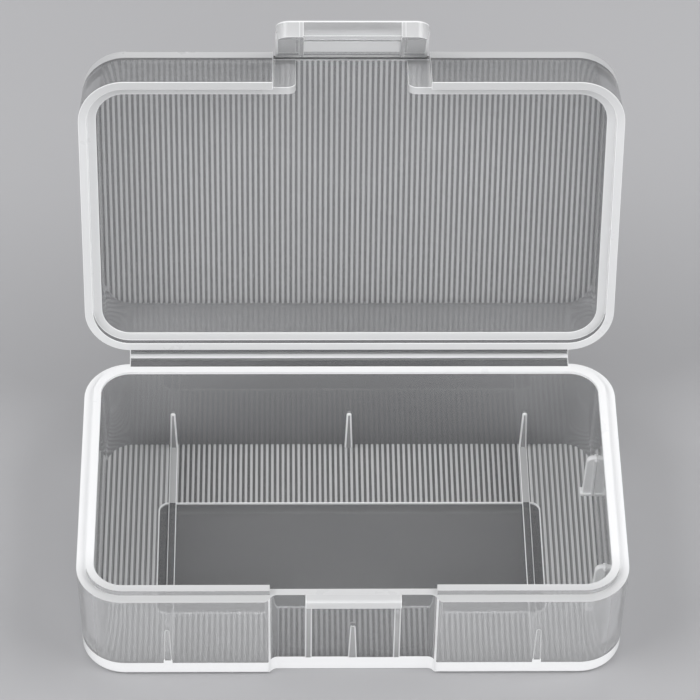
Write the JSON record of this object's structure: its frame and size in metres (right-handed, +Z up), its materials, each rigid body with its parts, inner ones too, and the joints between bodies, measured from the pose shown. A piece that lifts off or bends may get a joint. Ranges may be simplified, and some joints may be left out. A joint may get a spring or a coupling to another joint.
{
  "type": "battery case",
  "caption": "Open translucent plastic battery case: ribbed base tray, fluted lid on a rear living hinge, and a latch flap that hooks under a front catch.",
  "frame": {"origin": "centre of the base tray's underside", "axes": "+X along the case to the right as seen from the latch side, +Y to the hinge side, +Z up"},
  "size_m": [0.082, 0.0704, 0.0742],
  "materials": {
    "base_plastic": "translucent natural polypropylene, semi-gloss outside, fluted floor inside",
    "lid_plastic": "translucent natural polypropylene, semi-gloss outside, fluted panel inside",
    "latch_plastic": "translucent natural polypropylene, smooth"
  },
  "bodies": {
    "base": {"base_hinge_leaf": "base_plastic", "base_rim_lip": "base_plastic", "base_tray": "base_plastic", "catch_bar": "base_plastic", "catch_wall_rib_left": "base_plastic", "catch_wall_rib_right": "base_plastic", "end_stop_fin_front": "base_plastic", "end_stop_fin_rear": "base_plastic", "floor_flutes": "base_plastic", "floor_strip_left": "base_plastic", "floor_strip_right": "base_plastic", "front_cell_rib_left": "base_plastic", "front_cell_rib_middle": "base_plastic", "front_cell_rib_right": "base_plastic", "hinge_film": "base_plastic", "rear_cell_rib_left": "base_plastic", "rear_cell_rib_middle": "base_plastic", "rear_cell_rib_right": "base_plastic"},
    "lid": {"lid_shell": "lid_plastic", "lid_flutes": "lid_plastic", "lid_hinge_leaf": "lid_plastic", "latch_hinge_film": "lid_plastic"},
    "latch": {"latch_hook": "latch_plastic", "latch_lip_left": "latch_plastic", "latch_lip_right": "latch_plastic", "latch_plate": "latch_plastic", "latch_rib_left": "latch_plastic", "latch_rib_right": "latch_plastic"}
  },
  "joints": [
    {"name": "lid_hinge", "type": "hinge", "parent": "base", "child": "lid", "pos_m": [0, 0.02534, 0.0173], "axis": [1, 0, 0], "range_deg": [-77.25, 102.75]},
    {"name": "latch_hinge", "type": "hinge", "parent": "lid", "child": "latch", "pos_m": [0, 0.04609, 0.06209], "axis": [1, 0, 0], "range_deg": [-39.5, 39.46]}
  ]
}
